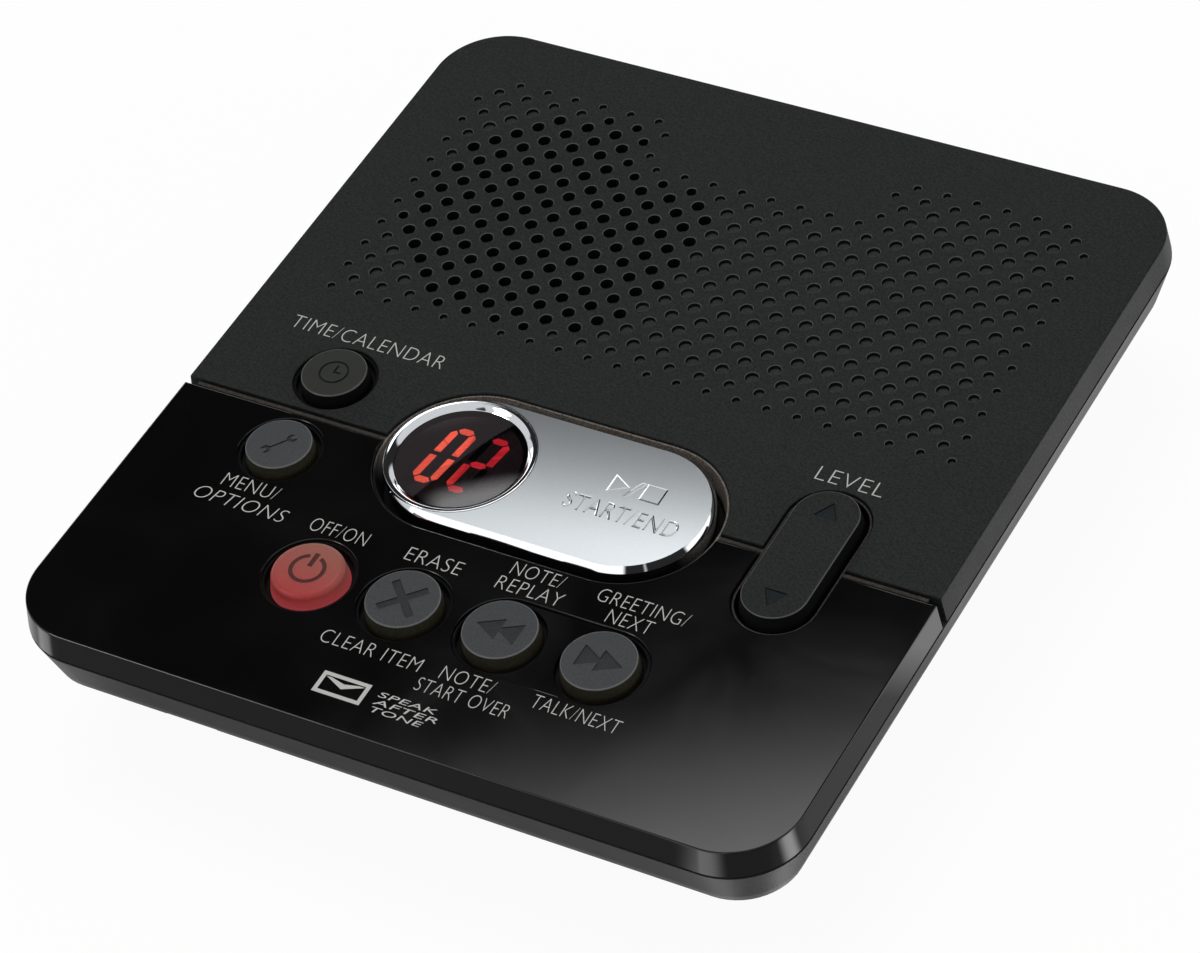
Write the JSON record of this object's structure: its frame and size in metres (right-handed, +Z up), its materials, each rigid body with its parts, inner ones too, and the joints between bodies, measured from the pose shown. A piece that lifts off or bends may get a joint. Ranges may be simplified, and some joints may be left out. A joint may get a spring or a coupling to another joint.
{
  "type": "answering machine",
  "caption": "Flat desk-top digital answering machine with rounded corners, a speaker grille, push keys, a volume rocker and a message counter in a polished ring.",
  "frame": {"origin": "middle of the surface that the feet stand on, under the middle of the case", "axes": "+X to the right of a user in front of it, +Y to the rear, +Z up"},
  "size_m": [0.1392, 0.1552, 0.0327],
  "materials": {
    "base_grey": "fine spark texture",
    "black_plastic": "matte",
    "board_green": "solder mask",
    "cone_film": "film",
    "contact_brass": "plated",
    "cover_gloss": "high gloss",
    "cover_matte": "fine matte texture",
    "foot_rubber": "matte",
    "frame_brown": "textured",
    "key_red": "clear red",
    "key_rubber": "fine matte",
    "key_satin": "satin plating",
    "lamp_red": "clear",
    "lens_smoked": "polished",
    "mat_rubber": "silicone",
    "mic_metal": "plain",
    "ring_chrome": "polished",
    "screw_steel": "plated",
    "segment_lit": "lit",
    "segment_unlit": "smooth"
  },
  "bodies": {
    "housing": {"base": "base_grey", "board_capacitors": "screw_steel", "board_header": "black_plastic", "bulk_capacitor": "screw_steel", "cover_screws": "screw_steel", "crystal": "screw_steel", "display_lens": "lens_smoked", "display_module": "black_plastic", "display_ring": "ring_chrome", "front_cover": "cover_gloss", "housing_screws": "screw_steel", "jack_wires": "contact_brass", "key_board": "board_green", "key_board_screws": "screw_steel", "key_mat": "mat_rubber", "line_board": "board_green", "line_board_screws": "screw_steel", "line_jack": "black_plastic", "line_relay": "black_plastic", "line_transformer": "black_plastic", "lit_segments": "segment_lit", "memory_chip": "black_plastic", "mic_boot": "mat_rubber", "mic_capsule": "mic_metal", "phone_jack": "black_plastic", "power_lamp": "lamp_red", "power_socket": "black_plastic", "power_socket_pin": "screw_steel", "processor_chip": "black_plastic", "rear_cover": "cover_matte", "rocker_pin": "screw_steel", "rubber_feet": "foot_rubber", "speaker_basket": "screw_steel", "speaker_cone": "cone_film", "speaker_dust_cap": "cone_film", "speaker_magnet": "screw_steel", "speaker_screws": "screw_steel", "speaker_terminal": "black_plastic", "top_frame": "frame_brown", "unlit_segments": "segment_unlit"},
    "power_key": {"power_key": "key_red"},
    "erase_key": {"erase_key": "key_rubber"},
    "back_key": {"back_key": "key_rubber"},
    "forward_key": {"forward_key": "key_rubber"},
    "clock_key": {"clock_key": "key_rubber"},
    "setup_key": {"setup_key": "key_rubber"},
    "play_key": {"play_key": "key_satin"},
    "volume_rocker": {"volume_rocker": "key_rubber"}
  },
  "joints": [
    {"name": "power_press", "type": "slide", "parent": "housing", "child": "power_key", "axis": [0, 0, -1], "range_m": [0, 0.0008], "stiffness_N_per_m": 1500, "springref_m": -0.0002, "deforming": ["key_mat"]},
    {"name": "erase_press", "type": "slide", "parent": "housing", "child": "erase_key", "axis": [0, 0, -1], "range_m": [0, 0.0008], "stiffness_N_per_m": 1500, "springref_m": -0.0002, "deforming": ["key_mat"]},
    {"name": "back_press", "type": "slide", "parent": "housing", "child": "back_key", "axis": [0, 0, -1], "range_m": [0, 0.0008], "stiffness_N_per_m": 1500, "springref_m": -0.0002, "deforming": ["key_mat"]},
    {"name": "forward_press", "type": "slide", "parent": "housing", "child": "forward_key", "axis": [0, 0, -1], "range_m": [0, 0.0008], "stiffness_N_per_m": 1500, "springref_m": -0.0002, "deforming": ["key_mat"]},
    {"name": "clock_press", "type": "slide", "parent": "housing", "child": "clock_key", "axis": [0, 0, -1], "range_m": [0, 0.0008], "stiffness_N_per_m": 1500, "springref_m": -0.0002, "deforming": ["key_mat"]},
    {"name": "setup_press", "type": "slide", "parent": "housing", "child": "setup_key", "axis": [0, 0, -1], "range_m": [0, 0.0008], "stiffness_N_per_m": 1500, "springref_m": -0.0002, "deforming": ["key_mat"]},
    {"name": "play_press", "type": "slide", "parent": "housing", "child": "play_key", "axis": [0, 0, -1], "range_m": [0, 0.0008], "stiffness_N_per_m": 1500, "springref_m": -0.0002, "deforming": ["key_mat"]},
    {"name": "volume_tilt", "type": "hinge", "parent": "housing", "child": "volume_rocker", "pos_m": [0.0454, -0.01915, 0.0256], "axis": [1, 0, 0], "range_deg": [-3, 3], "stiffness_Nm_per_rad": 0.6, "deforming": ["key_mat"]}
  ]
}
